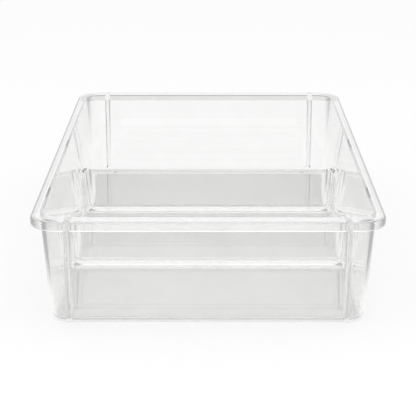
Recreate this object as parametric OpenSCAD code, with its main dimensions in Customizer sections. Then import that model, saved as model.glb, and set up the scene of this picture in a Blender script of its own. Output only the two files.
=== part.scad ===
// Clear fridge drawer organizer: an open tub with a turned-down rim, four stacking posts
// and two dividers that lift out. X runs across the tub, Y from front to back, Z up.
// The origin is the middle of the base, on the surface that the tub stands on.

/* [Tub] */
// Width of the tub over its rim
tub_w = 219; // [190:1:260]
// Depth of the tub over its rim, from front to back
tub_d = 366; // [320:1:420]
// Height of the tub, from its base to the top of its rim
tub_h = 71; // [62:1:100]
// Thickness of the four walls
wall_t = 2; // [1.5:0.1:3]
// Thickness of the floor
floor_t = 2; // [1.5:0.1:3]
// Lean of the walls from plumb, in degrees
draft = 4.4; // [2:0.2:5]
// Corner radius of the inside at the floor, seen from above
corner_r = 10; // [7:0.5:11]
// Radius where the floor turns up into the walls, on the inside
floor_r = 4.2; // [3:0.1:5]
// Radius where the underside turns up into the walls, on the outside
base_r = 4.8; // [4:0.1:5]

/* [Rim] */
// Distance that the rim stands out from the walls
rim_out = 5.2; // [4.5:0.1:10]
// Height of the rim's turned-down lip
rim_h = 7; // [5:0.5:12]
// Thickness of the rim and of its lip
rim_t = 2; // [1.5:0.1:2.5]
// Corner radius of the rim, seen from above
rim_r = 18; // [13:0.5:22]
// Rounding of the rim's top outer edge
rim_edge_r = 3; // [0.5:0.1:3.5]

/* [Posts] */
// Distance from the side of the rim to the middle of a post
post_inset = 23.6; // [20:0.1:40]
// Width of a post under the rim
post_w = 4; // [3:0.1:6]
// Width of a post at its foot
post_tip_w = 3.2; // [2:0.1:4]
// Height of the posts' feet above the base
post_lift = 5; // [4.8:0.1:8]

/* [Dividers] */
// Distance between the middles of the two dividers
divider_gap = 128; // [90:1:170]
// Height of a divider above the floor
divider_h = 33; // [20:0.5:50]
// Thickness of a divider's panel at its top
panel_t = 1.8; // [1.5:0.1:3]
// Lean of the panel's faces and of the end flanges' inner faces, in degrees
panel_draft = 1.5; // [1:0.25:2]
// Width of a divider's foot and end flanges, from front to back
foot_w = 20; // [16:0.5:30]
// Thickness of the foot flange, and of the end flanges at the foot
flange_t = 1.3; // [1:0.1:2]
// Radius of the cove between the foot and the panel
cove_r = 4; // [3:0.1:5]
// Radius of the cove between the panel and its end flanges, seen from above
end_cove_r = 8; // [6:0.5:10]
// Thickness of the rounded bead along the top edge
bead_d = 3.4; // [3.2:0.1:5]
// Gap between a divider's ends and the walls
side_gap = 0.4; // [0.3:0.1:0.8]

/* [Hidden] */
$fn = 64;

lean = tan(draft);
plumb = 0;
cut = 1;                                        // how far a cutting shape runs past a face
nip = 0.0005;                                   // added to an arc, so that it crosses its sides
base_w = snap(tub_w - 2 * rim_out - 2 * lean * tub_h); // outside of the body, at its base
base_d = snap(tub_d - 2 * rim_out - 2 * lean * tub_h);
inner_w = snap(base_w + 2 * lean * floor_t - 2 * wall_t); // inside of the body, at the floor
inner_d = snap(base_d + 2 * lean * floor_t - 2 * wall_t);
hollow_r = rim_t / 2;                           // rounding inside the rim's channel
post_x = tub_w / 2 - post_inset;
divider_w = inner_w - 2 * side_gap;
divider_corner_r = floor_r + side_gap;
divider_top_w = divider_w + 2 * lean * divider_h;
divider_inner_w = snap(divider_w + 2 * lean * flange_t - 2 * flange_t); // between the end flanges
panel_foot_t = snap(panel_t + 2 * tan(panel_draft) * (divider_h - flange_t));
clear_plastic = [0.86, 0.91, 0.93, 0.45];

// Lengths along a block are kept to hundredths, so that its sides and corners meet exactly
function snap(length) = round(length * 100) / 100;

// The outer end of a section through a block: its wall stands at x = corner on the base and
// leans outwards by angle a, and its bottom edge is rounded to radius r.
module section_end(h, corner, r, a) {
    mid_x = corner + r * tan(a) - r / cos(a);
    foot = [mid_x + r * cos(a), r - r * sin(a)];
    polygon([[0, 0], [mid_x, 0], [mid_x, r], foot, [corner + h * tan(a), h], [0, h]]);
    intersection() {
        translate([mid_x, r]) circle(r + nip);
        square([corner + r, 2 * r]);
    }
}

module section(w, h, corner, r, a) {
    for (side = [0, 1]) mirror([side, 0]) {
        translate([w / 2 - corner, 0]) section_end(h, corner, r, a);
        square([w / 2 - corner, h]);
    }
}

// A block w by d at its base and h high. Its walls lean outwards by angle a, corner is its
// corner radius seen from above, at the base, and r rounds its bottom edge.
module tray_block(w, d, h, corner, r, a) {
    rotate([90, 0, 0]) linear_extrude(d - 2 * corner, center = true)
        section(w, h, corner, r, a);
    rotate([90, 0, 90]) linear_extrude(w - 2 * corner, center = true)
        section(d, h, corner, r, a);
    for (turn = [0, 1], side = [0, 1]) mirror([turn, 0]) mirror([0, side])
        translate([w / 2 - corner, d / 2 - corner]) rotate_extrude(angle = 90)
            section_end(h, corner, r, a);
}

// The same block hanging down from its base, with the rounded edge on top
module cap_block(w, d, h, corner, r) {
    mirror([0, 0, 1]) tray_block(w, d, h, corner, r, plumb);
}

// The rim is a flat band with a lip turned down all round, hollow underneath
module rim() {
    difference() {
        translate([0, 0, tub_h]) cap_block(tub_w, tub_d, rim_h, rim_r, rim_edge_r);
        translate([0, 0, tub_h - rim_t])
            cap_block(tub_w - 2 * rim_t, tub_d - 2 * rim_t, rim_h, rim_r - rim_t, hollow_r);
    }
}

// A plumb post from the rim down to its rounded foot. It stands flush with the lip, and an
// equal tub's rim carries its foot when two tubs are stacked.
module post() {
    reach = rim_out + lean * tub_h;
    post_h = tub_h - rim_t - post_lift;
    intersection() {
        translate([0, 0, post_lift]) linear_extrude(post_h) {
            translate([0, post_w / 2]) circle(d = post_w);
            translate([-post_w / 2, post_w / 2]) square([post_w, reach - post_w / 2]);
        }
        translate([0, reach + cut, post_lift]) rotate([90, 0, 0]) linear_extrude(reach + 2 * cut) {
            translate([0, post_tip_w / 2]) circle(d = post_tip_w);
            polygon([[-post_tip_w / 2, post_tip_w / 2], [post_tip_w / 2, post_tip_w / 2],
                     [post_w / 2, post_h], [-post_w / 2, post_h]]);
        }
    }
}

module tub() {
    color(clear_plastic) difference() {
        union() {
            tray_block(base_w, base_d, tub_h - rim_t / 2, corner_r + wall_t, base_r, draft);
            rim();
            for (turn = [0, 1], side = [0, 1]) mirror([turn, 0]) mirror([0, side])
                translate([post_x, -tub_d / 2]) post();
        }
        translate([0, 0, floor_t])
            tray_block(inner_w, inner_d, tub_h - floor_t + cut, corner_r, floor_r, draft);
    }
}

// The outline of a divider, as wide as its flanges: it follows the inside of the tub
module divider_block() {
    rotate([90, 0, 0]) linear_extrude(foot_w, center = true)
        section(divider_w, divider_h, divider_corner_r, divider_corner_r, draft);
}

// The hollow behind the panel, with its coves. It is open at the top and at the back.
module divider_hollow() {
    hollow_d = foot_w + end_cove_r;
    translate([0, (panel_foot_t + hollow_d) / 2, flange_t])
        tray_block(divider_inner_w, hollow_d, divider_h, end_cove_r, cove_r, panel_draft);
}

module divider() {
    color(clear_plastic) translate([0, 0, floor_t]) {
        difference() {
            divider_block();
            for (side = [0, 1]) mirror([0, side]) divider_hollow();
        }
        intersection() {
            divider_block();
            translate([0, 0, divider_h - bead_d / 2]) rotate([0, 90, 0])
                cylinder(divider_top_w, d = bead_d, center = true);
        }
    }
}

module front_divider() {
    translate([0, -divider_gap / 2]) divider();
}

module rear_divider() {
    translate([0, divider_gap / 2]) divider();
}

tub();
front_divider();
rear_divider();
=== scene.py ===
"""Clear fridge drawer organizer: the looks of its tub and its two lift-out dividers.

Lengths are in metres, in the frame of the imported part: X across the tub, Y from front
to back, Z up, and the origin in the middle of the base.
"""

import logging
import math
from dataclasses import dataclass
from enum import Enum, IntEnum
from typing import Callable

import bmesh
import bpy
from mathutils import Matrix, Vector


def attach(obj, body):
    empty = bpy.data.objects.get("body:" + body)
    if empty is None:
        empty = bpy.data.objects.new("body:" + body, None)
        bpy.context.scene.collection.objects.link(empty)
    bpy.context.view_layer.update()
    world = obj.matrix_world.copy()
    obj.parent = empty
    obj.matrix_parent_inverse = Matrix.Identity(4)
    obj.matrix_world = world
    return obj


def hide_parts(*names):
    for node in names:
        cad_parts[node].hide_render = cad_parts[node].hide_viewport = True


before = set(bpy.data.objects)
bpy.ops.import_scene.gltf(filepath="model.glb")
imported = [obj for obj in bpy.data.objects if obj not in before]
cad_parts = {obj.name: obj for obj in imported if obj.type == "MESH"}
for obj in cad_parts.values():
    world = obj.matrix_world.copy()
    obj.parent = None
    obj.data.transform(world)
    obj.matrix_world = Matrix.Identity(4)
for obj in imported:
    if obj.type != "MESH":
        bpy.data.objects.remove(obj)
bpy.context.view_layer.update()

log = logging.getLogger("organizer")

MM = 0.001
NEAR = 0.02 * MM  # places this close count as equal
SAME_PLACE = NEAR / 10  # corners this close are merged
SHARP = math.radians(32)  # an edge stays sharp above this angle
FACING = 0.9  # share of a normal that has to point up or down
DIVIDER_Y = 64 * MM  # from the middle of the tub to the middle of a divider

Triple = tuple[float, float, float]  # a point, a colour or the sizes of an outline
Steps = list[tuple[float, float]]  # pairs of a distance inwards and a distance down
Value = float | bpy.types.NodeSocket  # a plain number or the output of a node


class Side(IntEnum):
    """The sides of the tub, each with its sign along X."""

    LEFT = -1
    RIGHT = 1


class End(IntEnum):
    """The ends of the tub, each with its sign along Y."""

    FRONT = -1
    BACK = 1


class Kind(Enum):
    """What is picked in edit mode."""

    CORNERS = "VERT"
    EDGES = "EDGE"
    FACES = "FACE"


class Mating(Enum):
    """What becomes of a solid when a tool is put to it."""

    UNITE = "UNION"
    CUT = "DIFFERENCE"


class Part(Enum):
    """The bodies of the object, each with the CAD node that it carries."""

    TUB = ("tub_body", "tub", "tub_clear")
    FRONT_DIVIDER = ("front_divider_body", "front_divider", "divider_clear")
    REAR_DIVIDER = ("rear_divider_body", "rear_divider", "divider_clear")

    @property
    def body(self) -> str:
        """Name of the CAD body."""
        return self.value[0]

    @property
    def node(self) -> str:
        """Name of the CAD node."""
        return self.value[1]

    @property
    def slot(self) -> str:
        """Name of the record's material slot."""
        return self.value[2]


class Bench:
    """The workbench: modelling operators, set to work on what the code has picked."""

    @staticmethod
    def clear() -> None:
        """Leave object mode behind clean, with nothing selected."""
        if bpy.context.object and bpy.context.object.mode != "OBJECT":
            bpy.ops.object.mode_set(mode="OBJECT")
        bpy.ops.object.select_all(action="DESELECT")

    @staticmethod
    def take(piece: bpy.types.Object) -> None:
        """Make one piece the selected and active one.

        Args:
            piece: The object to work on.
        """
        Bench.clear()
        piece.select_set(True)
        bpy.context.view_layer.objects.active = piece

    @staticmethod
    def edit(piece: bpy.types.Object, kind: Kind) -> None:
        """Open a piece in edit mode with nothing selected.

        Args:
            piece: The object to edit.
            kind: What is picked next.
        """
        Bench.take(piece)
        bpy.ops.object.mode_set(mode="EDIT")
        Bench.pick_by(kind)
        bpy.ops.mesh.select_all(action="DESELECT")

    @staticmethod
    def pick_by(kind: Kind) -> None:
        """Change what is picked in edit mode."""
        bpy.ops.mesh.select_mode(type=kind.value)

    @staticmethod
    def settle() -> None:
        """Go back to object mode and put the object's place into its mesh."""
        bpy.ops.object.mode_set(mode="OBJECT")
        bpy.ops.object.transform_apply(location=True, rotation=True, scale=True)

    @staticmethod
    def plate(name: str, width: float, depth: float, z: float) -> bpy.types.Object:
        """Add a flat plate, centred on the Z axis.

        Args:
            name: Name of the new piece.
            width: Size along X.
            depth: Size along Y.
            z: Height of the plate.

        Returns:
            The new object.
        """
        Bench.clear()
        bpy.ops.mesh.primitive_plane_add(size=1.0, location=(0.0, 0.0, z))
        piece = bpy.context.object
        piece.name = piece.data.name = name
        piece.scale = (width, depth, 1.0)
        bpy.ops.object.transform_apply(location=True, rotation=True, scale=True)
        return piece

    @staticmethod
    def block(name: str, low: Triple, high: Triple) -> bpy.types.Object:
        """Add a block between two corners.

        Args:
            name: Name of the new piece.
            low: Its lowest corner.
            high: Its highest corner.

        Returns:
            The new object.
        """
        Bench.clear()
        middle = [(a + b) / 2 for a, b in zip(low, high)]
        bpy.ops.mesh.primitive_cube_add(size=1.0, location=middle)
        piece = bpy.context.object
        piece.name = piece.data.name = name
        piece.scale = [b - a for a, b in zip(low, high)]
        bpy.ops.object.transform_apply(location=True, rotation=True, scale=True)
        return piece

    @staticmethod
    def pick_corners(test: Callable[[Vector], bool]) -> None:
        """Select the corners of the piece in edit mode whose place passes a test.

        Args:
            test: Takes a place and says whether to select it.
        """
        mesh = bpy.context.object.data
        shape = bmesh.from_edit_mesh(mesh)
        for corner in shape.verts:
            corner.select_set(test(corner.co))
        shape.select_flush_mode()
        bmesh.update_edit_mesh(mesh)

    @staticmethod
    def pick_edges(test: Callable[[Vector, Vector], bool]) -> None:
        """Select the edges of the piece in edit mode whose two ends pass a test.

        Args:
            test: Takes the places of an edge's ends and says whether to select it.
        """
        mesh = bpy.context.object.data
        shape = bmesh.from_edit_mesh(mesh)
        chosen = [e for e in shape.edges if test(e.verts[0].co, e.verts[1].co)]
        for edge in shape.edges:
            edge.select_set(False)
        for edge in chosen:
            edge.select_set(True)
        bmesh.update_edit_mesh(mesh)

    @staticmethod
    def pick_faces(test: Callable[[Vector, Vector], bool]) -> None:
        """Select the faces of the piece in edit mode that pass a test.

        Args:
            test: Takes a face's middle and its normal and says whether to select it.
        """
        mesh = bpy.context.object.data
        shape = bmesh.from_edit_mesh(mesh)
        shape.normal_update()
        chosen = [f for f in shape.faces if test(f.calc_center_median(), f.normal)]
        for face in shape.faces:
            face.select_set(False)
        for face in chosen:
            face.select_set(True)
        bmesh.update_edit_mesh(mesh)

    @staticmethod
    def round_edges(radius: float, strips: int) -> None:
        """Round the selected edges to a radius, with a number of strips."""
        bpy.ops.mesh.bevel(
            offset_type="OFFSET", offset=radius, segments=strips, affect="EDGES"
        )

    @staticmethod
    def round_corners(radius: float, strips: int) -> None:
        """Round the selected corners of a flat plate, with a number of strips."""
        bpy.ops.mesh.bevel(
            offset_type="OFFSET", offset=radius, segments=strips, affect="VERTICES"
        )

    @staticmethod
    def sink(steps: Steps) -> None:
        """Inset the selected face step by step, each time inwards and along its normal.

        Args:
            steps: Pairs of the distance inwards and the distance down.
        """
        for inward, down in steps:
            bpy.ops.mesh.inset(
                use_boundary=True, use_even_offset=True, thickness=inward, depth=-down
            )

    @staticmethod
    def join(name: str, pieces: list[bpy.types.Object]) -> bpy.types.Object:
        """Join pieces into one object.

        Args:
            name: Name of the joined object.
            pieces: The objects to join.

        Returns:
            The joined object.
        """
        Bench.clear()
        for piece in pieces:
            piece.select_set(True)
        bpy.context.view_layer.objects.active = pieces[0]
        bpy.ops.object.join()
        pieces[0].name = pieces[0].data.name = name
        return pieces[0]

    @staticmethod
    def combine(
        piece: bpy.types.Object, tool: bpy.types.Object, mating: Mating
    ) -> None:
        """Unite a piece with a tool or cut the tool out of it, then remove the tool.

        Args:
            piece: The object that stays.
            tool: The object that is used up.
            mating: Whether the tool is added to the piece or cut out of it.
        """
        Bench.take(piece)
        step = piece.modifiers.new("combine", "BOOLEAN")
        step.operation = mating.value
        step.solver = "EXACT"
        step.object = tool
        bpy.ops.object.modifier_apply(modifier=step.name)
        bpy.data.meshes.remove(tool.data)

    @staticmethod
    def finish(piece: bpy.types.Object) -> None:
        """Point the faces outwards and shade the piece, with flat faces kept flat.

        Args:
            piece: The object to finish.
        """
        Bench.edit(piece, Kind.FACES)
        bpy.ops.mesh.select_all(action="SELECT")
        bpy.ops.mesh.remove_doubles(threshold=SAME_PLACE)
        bpy.ops.mesh.normals_make_consistent(inside=False)
        Bench.settle()
        bpy.ops.object.shade_smooth_by_angle(angle=SHARP)
        weights = piece.modifiers.new("flat_faces_lead", "WEIGHTED_NORMAL")
        weights.keep_sharp = True
        weights.mode = "FACE_AREA"
        bpy.ops.object.modifier_apply(modifier=weights.name)


def arc_steps(radius: float, lean: float, count: int) -> Steps:
    """Steps that turn a leaning wall into a floor along an arc.

    Args:
        radius: Radius of the arc.
        lean: Lean of the wall from plumb, in radians.
        count: Number of steps.

    Returns:
        Pairs of the distance inwards and the distance down.
    """
    span = math.pi / 2 - lean
    angles = [lean + span * i / count for i in range(count + 1)]
    return [
        (radius * (math.cos(a) - math.cos(b)), radius * (math.sin(b) - math.sin(a)))
        for a, b in zip(angles, angles[1:])
    ]


def past(p: Vector, half_x: float, half_y: float, corner: float) -> float:
    """How far a point lies outside an outline with rounded corners.

    Args:
        p: The point.
        half_x: Half of the outline's width.
        half_y: Half of its depth.
        corner: Its corner radius.

    Returns:
        The distance in X and Y, below zero inside the outline.
    """
    out = Vector((abs(p.x) - half_x + corner, abs(p.y) - half_y + corner))
    if min(out) > 0:
        return out.length - corner
    return max(out) - corner


class Wiring:
    """A node tree at the bench: adds its nodes and joins their sockets."""

    def __init__(self, tree: bpy.types.NodeTree) -> None:
        """Take up the tree of a material, a world or a group."""
        self.tree = tree

    def add(self, kind: str, name: str, **settings: object) -> bpy.types.Node:
        """Add a node.

        Args:
            kind: Type of the node.
            name: Name that the node is given.
            settings: Its own settings, each by its name.

        Returns:
            The new node.
        """
        node = self.tree.nodes.new(kind)
        node.name = node.label = name
        for key, value in settings.items():
            setattr(node, key, value)
        return node

    def join(
        self, source: bpy.types.NodeSocket, *targets: bpy.types.NodeSocket
    ) -> None:
        """Join an output to one or more inputs."""
        for target in targets:
            self.tree.links.new(source, target)

    def maths(
        self, name: str, operation: str, first: Value, second: Value
    ) -> bpy.types.NodeSocket:
        """Add a sum of two values.

        Args:
            name: Name that the node is given.
            operation: Name of the sum.
            first: A number or an output.
            second: A number or an output.

        Returns:
            The output that holds the result.
        """
        node = self.add("ShaderNodeMath", name, operation=operation)
        for value, target in zip((first, second), node.inputs):
            if isinstance(value, bpy.types.NodeSocket):
                self.join(value, target)
            else:
                target.default_value = value
        return node.outputs["Value"]

    def ramp(
        self, name: str, source: bpy.types.NodeSocket, start: float, end: float
    ) -> bpy.types.NodeSocket:
        """Add a soft step from 0 to 1.

        Args:
            name: Name that the node is given.
            source: The output that the step reads.
            start: Value at which the step begins.
            end: Value at which it is done.

        Returns:
            The output that holds the result.
        """
        node = self.add("ShaderNodeMapRange", name, interpolation_type="SMOOTHSTEP")
        node.inputs["From Min"].default_value = start
        node.inputs["From Max"].default_value = end
        self.join(source, node.inputs["Value"])
        return node.outputs["Result"]


@dataclass(frozen=True)
class MouldedSkin:
    """What a polished mould leaves on clear plastic: a group that materials share.

    Haze is where the gloss is a little duller, and Flow is the faint waviness of the
    skin.
    """

    name: str = "moulded_skin"
    haze_scale: float = 40.0
    haze_detail: float = 3.0
    haze_grain: float = 0.55
    haze_from: float = 0.35
    haze_to: float = 0.75
    flow_scale: float = 12.0
    flow_detail: float = 1.0
    flow_swirl: float = 0.4

    def group(self) -> bpy.types.NodeTree:
        """Find the group, or build it the first time.

        Returns:
            The node group.
        """
        known = bpy.data.node_groups.get(self.name)
        if known:
            return known
        tree = bpy.data.node_groups.new(self.name, "ShaderNodeTree")
        scales = (("Haze Scale", self.haze_scale), ("Flow Scale", self.flow_scale))
        for socket, scale in scales:
            entry = tree.interface.new_socket(
                socket, in_out="INPUT", socket_type="NodeSocketFloat"
            )
            entry.default_value = scale
        for socket in ("Haze", "Flow"):
            tree.interface.new_socket(
                socket, in_out="OUTPUT", socket_type="NodeSocketFloat"
            )
        wiring = Wiring(tree)
        entry = wiring.add("NodeGroupInput", "settings")
        leave = wiring.add("NodeGroupOutput", "masks")
        place_on = wiring.add("ShaderNodeTexCoord", "place_on_piece")
        cloud = wiring.add("ShaderNodeTexNoise", "haze_cloud")
        cloud.inputs["Detail"].default_value = self.haze_detail
        cloud.inputs["Roughness"].default_value = self.haze_grain
        flow = wiring.add("ShaderNodeTexNoise", "flow_waves")
        flow.inputs["Detail"].default_value = self.flow_detail
        flow.inputs["Distortion"].default_value = self.flow_swirl
        spread = wiring.add("ShaderNodeMapRange", "haze_spread")
        spread.inputs["From Min"].default_value = self.haze_from
        spread.inputs["From Max"].default_value = self.haze_to
        wiring.join(
            place_on.outputs["Object"], cloud.inputs["Vector"], flow.inputs["Vector"]
        )
        wiring.join(entry.outputs["Haze Scale"], cloud.inputs["Scale"])
        wiring.join(entry.outputs["Flow Scale"], flow.inputs["Scale"])
        wiring.join(cloud.outputs["Fac"], spread.inputs["Value"])
        wiring.join(spread.outputs["Result"], leave.inputs["Haze"])
        wiring.join(flow.outputs["Fac"], leave.inputs["Flow"])
        return tree


@dataclass(frozen=True)
class ClearPlastic:
    """Clear, colourless polystyrene: glossy, faintly hazy, darker where it is deep."""

    name: str
    colour: Triple = (0.985, 0.985, 0.981)
    hazy_colour: Triple = (0.965, 0.965, 0.96)
    ior: float = 1.5
    gloss: float = 0.01
    hazy_gloss: float = 0.05
    haze_scale: float = 55.0
    flow_scale: float = 14.0
    flow_depth: float = 0.02 * MM
    depth_colour: Triple = (0.55, 0.55, 0.55)
    depth_density: float = 15.0
    shade: float = 0.932
    most_bends: int = 9
    most_mirrors: int = 2

    def build(self) -> bpy.types.Material:
        """Build the material.

        Returns:
            The new material.
        """
        material = bpy.data.materials.new(self.name)
        material.use_nodes = True
        wiring = Wiring(material.node_tree)
        shader = material.node_tree.nodes["Principled BSDF"]
        shader.inputs["IOR"].default_value = self.ior
        shader.inputs["Transmission Weight"].default_value = 1.0
        skin = wiring.add("ShaderNodeGroup", "skin", node_tree=MouldedSkin().group())
        skin.inputs["Haze Scale"].default_value = self.haze_scale
        skin.inputs["Flow Scale"].default_value = self.flow_scale
        tint = wiring.add("ShaderNodeMix", "tint", data_type="RGBA")
        tint.inputs["A"].default_value = (*self.colour, 1.0)
        tint.inputs["B"].default_value = (*self.hazy_colour, 1.0)
        gloss = wiring.add("ShaderNodeMapRange", "gloss")
        gloss.inputs["To Min"].default_value = self.gloss
        gloss.inputs["To Max"].default_value = self.hazy_gloss
        waves = wiring.add("ShaderNodeBump", "waves")
        waves.inputs["Distance"].default_value = self.flow_depth
        wiring.join(skin.outputs["Haze"], tint.inputs["Factor"], gloss.inputs["Value"])
        wiring.join(skin.outputs["Flow"], waves.inputs["Height"])
        wiring.join(tint.outputs["Result"], shader.inputs["Base Color"])
        wiring.join(gloss.outputs["Result"], shader.inputs["Roughness"])
        wiring.join(waves.outputs["Normal"], shader.inputs["Normal"])
        self._let_through(wiring, shader)
        self._deepen(wiring)
        return material

    def _let_through(self, wiring: Wiring, shader: bpy.types.Node) -> None:
        """Let shadows through softly, and light that has been mirrored many times.

        A path of light that is caught between the skins would otherwise end in black.

        Args:
            wiring: The material's nodes.
            shader: The shader that makes its gloss and lets light through.
        """
        path = wiring.add("ShaderNodeLightPath", "path")
        bent = wiring.maths(
            "bent", "GREATER_THAN", path.outputs["Ray Depth"], self.most_bends
        )
        caught = wiring.maths(
            "caught", "GREATER_THAN", path.outputs["Glossy Depth"], self.most_mirrors
        )
        ended = wiring.maths("ended", "MAXIMUM", bent, caught)
        passes = wiring.maths("passes", "MAXIMUM", ended, path.outputs["Is Shadow Ray"])
        shadow = wiring.add("ShaderNodeMapRange", "shadow")
        shadow.inputs["To Min"].default_value = 1.0
        shadow.inputs["To Max"].default_value = self.shade
        clear = wiring.add("ShaderNodeBsdfTransparent", "clear")
        blend = wiring.add("ShaderNodeMixShader", "blend")
        output = wiring.tree.nodes["Material Output"]
        wiring.join(path.outputs["Is Shadow Ray"], shadow.inputs["Value"])
        wiring.join(shadow.outputs["Result"], clear.inputs["Color"])
        wiring.join(passes, blend.inputs["Fac"])
        wiring.join(shader.outputs["BSDF"], blend.inputs[1])
        wiring.join(clear.outputs["BSDF"], blend.inputs[2])
        wiring.join(blend.outputs["Shader"], output.inputs["Surface"])

    def _deepen(self, wiring: Wiring) -> None:
        """Darken the plastic with the length of the light's way through it.

        Args:
            wiring: The material's nodes.
        """
        depth = wiring.add("ShaderNodeVolumeAbsorption", "depth")
        depth.inputs["Color"].default_value = (*self.depth_colour, 1.0)
        depth.inputs["Density"].default_value = self.depth_density
        output = wiring.tree.nodes["Material Output"]
        wiring.join(depth.outputs["Volume"], output.inputs["Volume"])


@dataclass
class Tub:
    """The tub: an open bowl with a rim, a turned-down lip and four stacking posts."""

    width: float = 219 * MM
    depth: float = 366 * MM
    height: float = 71 * MM
    wall: float = 2 * MM
    floor: float = 2 * MM
    lean: float = math.radians(4.4)
    rim_out: float = 5.2 * MM
    rim_height: float = 7 * MM
    rim_wall: float = 2 * MM
    rim_corner: float = 18 * MM
    rim_edge: float = 3 * MM
    rim_edge_strips: int = 12
    channel_edge: float = 1 * MM
    channel_strips: int = 4
    lip_edge: float = 0.35 * MM
    lip_strips: int = 3
    lip_slack: float = 0.1 * MM
    inner_corner: float = 10 * MM
    inner_turn: float = 4.2 * MM
    outer_turn: float = 4.8 * MM
    corner_strips: int = 24
    turn_strips: int = 10
    bridge_drop: float = 1 * MM
    post_x: float = 85.9 * MM
    post_width: float = 4 * MM
    post_edge: float = 1.4 * MM
    post_strips: int = 8
    post_setback: float = 0.03 * MM
    post_tip: float = 3.2 * MM
    post_tip_edge: float = 0.896 * MM
    post_tip_strips: int = 5
    post_foot: float = 5 * MM

    def half_at(self, extent: float, z: float) -> float:
        """Half of the body's outer size at height z, from the rim's size that way."""
        return extent / 2 - self.rim_out - (self.height - z) * math.tan(self.lean)

    def skin_at(self, z: float, wall: float) -> Triple:
        """Outline of one skin of the bowl at a height.

        Args:
            z: Height above the base.
            wall: How far the skin lies inside the outer one.

        Returns:
            Half of its width, half of its depth, and its corner radius.
        """
        corner = self.inner_corner + self.wall - wall + (z - wall) * math.tan(self.lean)
        half_x = self.half_at(self.width, z) - wall
        half_y = self.half_at(self.depth, z) - wall
        return half_x, half_y, corner

    def bowl(
        self, name: str, top: float, foot: float, wall: float, turn: float
    ) -> bpy.types.Object:
        """Make one skin of the bowl, open at the top.

        Args:
            name: Name of the piece.
            top: Height of its open edge.
            foot: Height of its floor.
            wall: How far the skin lies inside the outer one.
            turn: Radius where its floor meets its walls.

        Returns:
            The new object.
        """
        half_x, half_y, corner = self.skin_at(top, wall)
        skin = Bench.plate(name, 2 * half_x, 2 * half_y, top)
        Bench.edit(skin, Kind.CORNERS)
        bpy.ops.mesh.select_all(action="SELECT")
        Bench.round_corners(corner, self.corner_strips)
        Bench.pick_by(Kind.FACES)
        bpy.ops.mesh.select_all(action="SELECT")
        drop = top - foot - turn * (1 - math.sin(self.lean))
        wall_step = (drop * math.tan(self.lean), drop)
        Bench.sink([wall_step, *arc_steps(turn, self.lean, self.turn_strips)])
        Bench.settle()
        return skin

    def rim(self) -> bpy.types.Object:
        """Make the rim with its hollow lip, open where the two skins meet it.

        Returns:
            The new object.
        """
        half_x, half_y = self.width / 2, self.depth / 2
        low = self.height - self.rim_height
        rim = Bench.block("rim", (-half_x, -half_y, low), (half_x, half_y, self.height))
        Bench.edit(rim, Kind.EDGES)
        Bench.pick_edges(lambda a, b: abs(a.z - b.z) > NEAR)
        Bench.round_edges(self.rim_corner, self.corner_strips)
        Bench.pick_edges(lambda a, b: min(a.z, b.z) > self.height - NEAR)
        Bench.round_edges(self.rim_edge, self.rim_edge_strips)
        Bench.pick_by(Kind.FACES)
        Bench.pick_faces(lambda middle, normal: normal.z < -FACING)
        Bench.sink([(self.rim_wall, 0.0), (0.0, self.rim_height - self.rim_wall)])
        bpy.ops.mesh.delete(type="FACE")
        Bench.pick_faces(
            lambda middle, normal: normal.z > FACING and middle.xy.length < NEAR
        )
        bpy.ops.mesh.delete(type="FACE")
        Bench.settle()
        return rim

    def post(self, side: Side, end: End) -> bpy.types.Object:
        """Make one stacking post, with its root inside the leaning wall.

        Args:
            side: The side of the tub that it stands on.
            end: The end of the tub that it stands at.

        Returns:
            The new object.
        """
        top = self.height - self.rim_wall / 2
        half = self.post_width / 2
        nose = self.depth / 2 - self.post_setback
        root_low = self.half_at(self.depth, self.post_foot) - self.wall / 2
        root_high = self.half_at(self.depth, top) - self.wall / 2
        post = Bench.block(
            "post", (-half, -nose, self.post_foot), (half, -root_low, top)
        )
        Bench.edit(post, Kind.CORNERS)
        Bench.pick_corners(lambda p: p.y > -root_low - NEAR and p.z > top - NEAR)
        bpy.ops.transform.translate(value=(0.0, root_low - root_high, 0.0))
        Bench.pick_by(Kind.EDGES)
        Bench.pick_edges(
            lambda a, b: max(a.y, b.y) < -nose + NEAR and abs(a.z - b.z) > NEAR
        )
        Bench.round_edges(self.post_edge, self.post_strips)
        Bench.pick_corners(lambda p: p.z < self.post_foot + NEAR)
        bpy.ops.transform.resize(
            value=(self.post_tip / self.post_width, 1.0, 1.0),
            center_override=(0.0, -nose, self.post_foot),
        )
        Bench.pick_edges(lambda a, b: max(a.z, b.z) < self.post_foot + NEAR)
        Bench.round_edges(self.post_tip_edge, self.post_tip_strips)
        bpy.ops.mesh.select_all(action="SELECT")
        if end is End.BACK:
            bpy.ops.transform.mirror(
                constraint_axis=(False, True, False), center_override=(0.0, 0.0, 0.0)
            )
            bpy.ops.mesh.normals_make_consistent(inside=False)
        bpy.ops.transform.translate(value=(side * self.post_x, 0.0, 0.0))
        Bench.settle()
        return post

    def build(self) -> bpy.types.Object:
        """Build the tub.

        Returns:
            The finished piece.
        """
        inside = self.bowl(
            "inside", self.height, self.floor, self.wall, self.inner_turn
        )
        ceiling = self.height - self.rim_wall
        outside = self.bowl("outside", ceiling, 0.0, 0.0, self.outer_turn)
        tub = Bench.join("clear_tub", [self.rim(), inside, outside])
        Bench.edit(tub, Kind.EDGES)
        for level, wall in ((self.height, self.wall), (ceiling, 0.0)):
            self._bridge(level, wall)
        bpy.ops.mesh.select_all(action="SELECT")
        bpy.ops.mesh.normals_make_consistent(inside=False)
        Bench.pick_edges(self._is_channel)
        Bench.round_edges(self.channel_edge, self.channel_strips)
        Bench.pick_edges(self._is_lip_or_mouth)
        Bench.round_edges(self.lip_edge, self.lip_strips)
        Bench.settle()
        for side in Side:
            for end in End:
                Bench.combine(tub, self.post(side, end), Mating.UNITE)
        Bench.finish(tub)
        return tub

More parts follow.
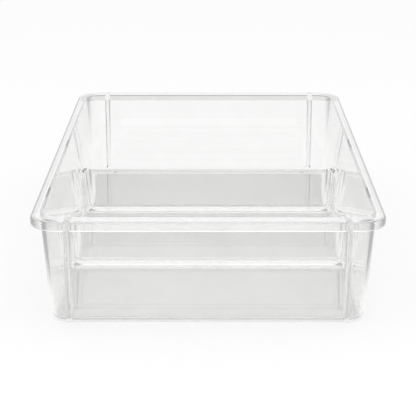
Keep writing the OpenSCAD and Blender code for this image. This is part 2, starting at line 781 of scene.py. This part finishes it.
    def _bridge(self, level: float, wall: float) -> None:
        """Close the flat gap between the rim and the open edge of a skin.

        The skin's edge is let down a little meanwhile, since two loops in one plane and
        round one centre can be bridged the wrong way round.

        Args:
            level: Height of the gap.
            wall: How far the skin lies inside the outer one.
        """
        skin = self.skin_at(level, wall)
        drop = self.bridge_drop

        def on_level(p: Vector) -> bool:
            """Whether a corner lies at the height of the gap."""
            return abs(p.z - level) < NEAR

        def let_down(p: Vector) -> bool:
            """Whether a corner is one of the skin's edge that is let down."""
            return abs(p.z - level + drop) < NEAR and past(p, *skin) < NEAR

        Bench.pick_corners(lambda p: on_level(p) and past(p, *skin) < NEAR)
        bpy.ops.transform.translate(value=(0.0, 0.0, -drop))
        Bench.pick_edges(
            lambda a, b: on_level(a) and on_level(b) or let_down(a) and let_down(b)
        )
        bpy.ops.mesh.bridge_edge_loops()
        Bench.pick_corners(let_down)
        bpy.ops.transform.translate(value=(0.0, 0.0, drop))

    def _ring(self, inset: float) -> Triple:
        """Outline of the lip: half of its width and depth, and its corner radius."""
        half_x, half_y = self.width / 2, self.depth / 2
        return half_x - inset, half_y - inset, self.rim_corner - inset

    def _is_channel(self, a: Vector, b: Vector) -> bool:
        """Whether an edge lies where the lip meets the ceiling of the rim's channel.

        Args:
            a: One end of the edge.
            b: Its other end.

        Returns:
            True for an edge in that inner corner.
        """
        ceiling = self.height - self.rim_wall
        ring = self._ring(self.rim_wall)
        return all(
            abs(p.z - ceiling) < NEAR and abs(past(p, *ring)) < NEAR for p in (a, b)
        )

    def _is_lip_or_mouth(self, a: Vector, b: Vector) -> bool:
        """Whether an edge is one of the lip's lower two, or of the tub's mouth.

        Args:
            a: One end of the edge.
            b: Its other end.

        Returns:
            True for an edge that a mould leaves slightly rounded.
        """
        lip = self.height - self.rim_height
        if max(a.z, b.z) < lip + NEAR and min(a.z, b.z) > lip - NEAR:
            return any(
                all(abs(past(p, *self._ring(inset))) < self.lip_slack for p in (a, b))
                for inset in (0.0, self.rim_wall)
            )
        skin = self.skin_at(self.height, self.wall)
        mouth = min(a.z, b.z) > self.height - NEAR
        return mouth and all(past(p, *skin) < NEAR for p in (a, b))


@dataclass
class Divider:
    """A divider that lifts out: a panel with a bead, a foot and two end flanges."""

    middle_y: float
    foot_z: float = 2.05 * MM
    top_z: float = 35 * MM
    foot_half: float = 96.59 * MM
    lean: float = math.radians(4.4)
    corner: float = 4.6 * MM
    corner_strips: int = 10
    flange_depth: float = 20 * MM
    flange: float = 1.25 * MM
    flange_edge: float = 0.45 * MM
    flange_edge_strips: int = 3
    panel: float = 1.8 * MM
    panel_lean: float = math.radians(1.5)
    cove: float = 4 * MM
    cove_strips: int = 10
    end_cove: float = 8 * MM
    end_cove_strips: int = 16
    hollow_rise: float = 10 * MM
    bead: float = 3.4 * MM
    bead_strips: int = 32
    bead_reach: float = 0.4 * MM
    bead_rise: float = 0.01 * MM

    def block(self) -> bpy.types.Object:
        """Make the outline that the divider is cut from.

        Returns:
            The new object.
        """
        half = self.flange_depth / 2
        block = Bench.block(
            "divider",
            (-self.foot_half, self.middle_y - half, self.foot_z),
            (self.foot_half, self.middle_y + half, self.top_z),
        )
        spread = (self.top_z - self.foot_z) * math.tan(self.lean)
        Bench.edit(block, Kind.CORNERS)
        Bench.pick_corners(lambda p: p.z > self.top_z - NEAR)
        bpy.ops.transform.resize(value=(1 + spread / self.foot_half, 1.0, 1.0))
        Bench.pick_by(Kind.EDGES)
        Bench.pick_edges(
            lambda a, b: max(a.z, b.z) < self.foot_z + NEAR and abs(a.x - b.x) < NEAR
        )
        Bench.round_edges(self.corner, self.corner_strips)
        Bench.settle()
        return block

    def hollow(self, end: End) -> bpy.types.Object:
        """Make the hollow on one side of the panel, with its coves.

        Args:
            end: The end of the tub that the hollow faces.

        Returns:
            The new object.
        """
        low = self.foot_z + self.flange
        high = self.top_z + self.hollow_rise
        slope = math.tan(self.panel_lean)
        near = self.panel / 2 + (self.top_z - low) * slope
        half_x = self.foot_half - self.flange + self.flange * math.tan(self.lean)
        far = near + self.flange_depth + self.end_cove
        hollow = Bench.block(
            "hollow",
            (-half_x, self.middle_y - far, low),
            (half_x, self.middle_y - near, high),
        )
        Bench.edit(hollow, Kind.CORNERS)
        Bench.pick_corners(lambda p: p.z > high - NEAR)
        grow = (high - low) * slope
        bpy.ops.transform.resize(
            value=(1 + grow / half_x, 1 + 2 * grow / (far - near), 1.0)
        )
        Bench.pick_by(Kind.EDGES)
        halfway = self.middle_y - (near + far) / 2
        Bench.pick_edges(
            lambda a, b: abs(a.z - b.z) > NEAR and min(a.y, b.y) > halfway
        )
        Bench.round_edges(self.end_cove, self.end_cove_strips)
        Bench.pick_edges(lambda a, b: max(a.z, b.z) < low + NEAR)
        Bench.round_edges(self.cove, self.cove_strips)
        if end is End.BACK:
            bpy.ops.mesh.select_all(action="SELECT")
            bpy.ops.transform.mirror(
                constraint_axis=(False, True, False),
                center_override=(0.0, self.middle_y, 0.0),
            )
            bpy.ops.mesh.normals_make_consistent(inside=False)
        Bench.settle()
        return hollow

    def build(self, name: str) -> bpy.types.Object:
        """Build the divider.

        Args:
            name: Name of the finished piece.

        Returns:
            The finished piece.
        """
        divider = self.block()
        for end in End:
            Bench.combine(divider, self.hollow(end), Mating.CUT)
        self._ease_flanges(divider)
        Bench.combine(divider, self.top_bead(), Mating.UNITE)
        divider.name = divider.data.name = name
        Bench.finish(divider)
        return divider

    def _ease_flanges(self, divider: bpy.types.Object) -> None:
        """Round the outline of the foot and end flanges, in front and behind.

        Args:
            divider: The divider, with its hollows cut.
        """
        half = self.flange_depth / 2
        Bench.edit(divider, Kind.FACES)
        Bench.pick_faces(
            lambda middle, normal: abs(abs(middle.y - self.middle_y) - half) < NEAR
        )
        bpy.ops.mesh.region_to_loop()
        Bench.round_edges(self.flange_edge, self.flange_edge_strips)
        Bench.settle()

    def top_bead(self) -> bpy.types.Object:
        """Make the round bead along the top edge.

        Returns:
            The new object.
        """
        reach = self.foot_half + self.bead_reach
        middle_z = self.top_z - self.bead / 2 + self.bead_rise
        Bench.clear()
        bpy.ops.mesh.primitive_cylinder_add(
            vertices=self.bead_strips,
            radius=self.bead / 2,
            depth=2 * reach,
            location=(0.0, self.middle_y, middle_z),
            rotation=(0.0, math.pi / 2, 0.0),
        )
        bead = bpy.context.object
        bpy.ops.object.transform_apply(location=True, rotation=True, scale=True)
        return bead


@dataclass
class Studio:
    """The bright white set round the clear tub, its lamp and the camera.

    The wall behind is white and the room's sides are dark, so that the clear edges
    show. To rays through or off the plastic the table is a painted light: it glows
    white round the tub and a painted dark grey far off, and keeps its own shading under
    it.
    """

    camera_x: float = 1.2 * MM
    camera_y: float = -988.9 * MM
    camera_z: float = 325.3 * MM
    pitch: float = math.radians(16.99)
    yaw: float = math.radians(0.08)
    sensor: float = 36.0
    lens: float = 121.15
    shift: float = -0.0002
    clip_from: float = 0.01
    clip_to: float = 50.0
    table_size: float = 12.0
    table_drop: float = 0.05 * MM
    table_tone: float = 0.9
    table_dullness: float = 0.9
    glow_seen: float = 0.75
    # Edges of the tub's footprint, where the painted glow gives way to real shading;
    # they make a painted bright line along the tub's foot
    foot_x: float = 100 * MM
    foot_y: float = 172 * MM
    soft: float = 4 * MM
    # Reach of the painted white glow round the tub, and how softly it dims
    white_x: float = 125 * MM
    white_y: float = 475 * MM
    fade: float = 60 * MM
    # Painted dark: strength of the table's glow far off, seen only through or off the
    # plastic
    painted_far_dark: float = 0.5
    side_tone: float = 0.1
    wall_from: float = -0.1
    wall_to: float = 0.5
    roof_from: float = 0.6
    roof_to: float = 0.9
    lamp_watts: float = 2.0
    lamp_size: float = 0.8
    lamp_place: Triple = (0.0, -0.2, 1.0)
    lamp_tilt: float = math.radians(-11)

    def camera(self) -> None:
        """Place the camera at the photograph's angle."""
        data = bpy.data.cameras.new("camera")
        data.sensor_width = self.sensor
        data.lens = self.lens
        data.shift_x = self.shift
        data.clip_start = self.clip_from
        data.clip_end = self.clip_to
        camera = bpy.data.objects.new("camera", data)
        camera.location = (self.camera_x, self.camera_y, self.camera_z)
        camera.rotation_euler = (math.pi / 2 - self.pitch, 0.0, self.yaw)
        bpy.context.scene.collection.objects.link(camera)
        bpy.context.scene.camera = camera

    def table(self) -> None:
        """Lay the table: white to the camera, and a painted glow to the plastic."""
        table = Bench.plate(
            "table", self.table_size, self.table_size, -self.table_drop
        )
        material = bpy.data.materials.new("table_white")
        material.use_nodes = True
        wiring = Wiring(material.node_tree)
        shader = material.node_tree.nodes["Principled BSDF"]
        tone = self.table_tone
        shader.inputs["Base Color"].default_value = (tone, tone, tone, 1.0)
        shader.inputs["Roughness"].default_value = self.table_dullness
        path = wiring.add("ShaderNodeLightPath", "path")
        beyond = wiring.maths(
            "through_or_off",
            "MAXIMUM",
            path.outputs["Is Transmission Ray"],
            path.outputs["Is Glossy Ray"],
        )
        # Painted light: rays through or off the plastic see the table glow outside the
        # tub's footprint, white near it and a painted dark grey far off; under the tub
        # they see its real shading
        outside, near = self._around(wiring)
        part = wiring.maths("part", "MULTIPLY", beyond, outside)
        direct = wiring.maths(
            "direct", "MULTIPLY", path.outputs["Is Camera Ray"], self.glow_seen
        )
        seen = wiring.maths("seen", "MAXIMUM", part, direct)
        strength = wiring.maths("tone", "MAXIMUM", near, path.outputs["Is Camera Ray"])
        glow = wiring.add("ShaderNodeEmission", "glow")
        wiring.join(strength, glow.inputs["Strength"])
        blend = wiring.add("ShaderNodeMixShader", "blend")
        wiring.join(seen, blend.inputs["Fac"])
        wiring.join(shader.outputs["BSDF"], blend.inputs[1])
        wiring.join(glow.outputs["Emission"], blend.inputs[2])
        output = wiring.tree.nodes["Material Output"]
        wiring.join(blend.outputs["Shader"], output.inputs["Surface"])
        table.data.materials.append(material)

    def _around(
        self, wiring: Wiring
    ) -> tuple[bpy.types.NodeSocket, bpy.types.NodeSocket]:
        """Mask the table's painted light: white round the tub, painted dark far off.

        Args:
            wiring: The table's nodes.

        Returns:
            Two outputs: 1 outside the tub's footprint, and the painted glow's strength
                there.
        """
        where = wiring.add("ShaderNodeTexCoord", "where")
        axes = wiring.add("ShaderNodeSeparateXYZ", "axes")
        wiring.join(where.outputs["Object"], axes.inputs["Vector"])
        aside = wiring.maths("aside", "ABSOLUTE", axes.outputs["X"], 0.0)
        along = wiring.maths("along", "ABSOLUTE", axes.outputs["Y"], 0.0)
        soft, fade = self.soft, self.fade
        beside = wiring.ramp("beside", aside, self.foot_x - soft, self.foot_x + soft)
        before = wiring.ramp("before", along, self.foot_y - soft, self.foot_y + soft)
        outside = wiring.maths("outside", "MAXIMUM", beside, before)
        # Painted dark far off: the glow dims to grey away from the tub, seen only
        # through or off the plastic
        off_side = wiring.ramp("off_side", aside, self.white_x, self.white_x + fade)
        off_end = wiring.ramp("off_end", along, self.white_y, self.white_y + fade)
        off = wiring.maths("off", "MAXIMUM", off_side, off_end)
        loss = wiring.maths("loss", "MULTIPLY", off, 1 - self.painted_far_dark)
        return outside, wiring.maths("near", "SUBTRACT", 1.0, loss)

    def room(self) -> None:
        """Set up the room: even white light, and dark sides that the plastic sees."""
        world = bpy.data.worlds.new("white_room")
        world.use_nodes = True
        wiring = Wiring(world.node_tree)
        sky = world.node_tree.nodes["Background"]
        sky.inputs["Strength"].default_value = 1.0
        where = wiring.add("ShaderNodeTexCoord", "where")
        axes = wiring.add("ShaderNodeSeparateXYZ", "axes")
        wiring.join(where.outputs["Generated"], axes.inputs["Vector"])
        behind = wiring.ramp("behind", axes.outputs["Y"], self.wall_from, self.wall_to)
        above = wiring.ramp("above", axes.outputs["Z"], self.roof_from, self.roof_to)
        bright = wiring.maths("bright", "MAXIMUM", behind, above)
        lit = wiring.maths("lit", "MAXIMUM", bright, self.side_tone)
        path = wiring.add("ShaderNodeLightPath", "path")
        plain = wiring.maths(
            "plain",
            "MAXIMUM",
            path.outputs["Is Camera Ray"],
            path.outputs["Is Diffuse Ray"],
        )
        tone = wiring.maths("tone", "MAXIMUM", lit, plain)
        wiring.join(tone, sky.inputs["Color"])
        bpy.context.scene.world = world

    def light(self) -> None:
        """Hang one wide soft lamp over the tub."""
        data = bpy.data.lights.new("soft_box", "AREA")
        data.energy = self.lamp_watts
        data.size = self.lamp_size
        lamp = bpy.data.objects.new("soft_box", data)
        lamp.location = self.lamp_place
        lamp.rotation_euler = (self.lamp_tilt, 0.0, 0.0)
        bpy.context.scene.collection.objects.link(lamp)

    def build(self) -> None:
        """Build the whole set."""
        self.camera()
        self.table()
        self.room()
        self.light()


def place(piece: bpy.types.Object, part: Part, finish: bpy.types.Material) -> None:
    """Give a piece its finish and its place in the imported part.

    Args:
        piece: The finished piece.
        part: The part that it stands for.
        finish: The material that it wears.
    """
    piece.data.materials.clear()
    piece.data.materials.append(finish)
    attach(piece, part.body)
    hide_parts(part.node)
    log.info("%s: %d faces on %s", piece.name, len(piece.data.polygons), part.body)


def main() -> None:
    """Build the organizer, dress it and set the stage."""
    logging.basicConfig(level=logging.INFO, format="%(name)s: %(message)s")
    tub_plastic = ClearPlastic("clear_tub_plastic").build()
    divider_plastic = ClearPlastic(
        "clear_divider_plastic", depth_density=2.0
    ).build()
    place(Tub().build(), Part.TUB, tub_plastic)
    front = Divider(End.FRONT * DIVIDER_Y).build("front_clear_divider")
    place(front, Part.FRONT_DIVIDER, divider_plastic)
    rear = Divider(End.BACK * DIVIDER_Y).build("rear_clear_divider")
    place(rear, Part.REAR_DIVIDER, divider_plastic)
    Studio().build()
    bpy.context.scene.view_settings.view_transform = "Standard"
    Bench.clear()


if __name__ == "__main__":
    main()
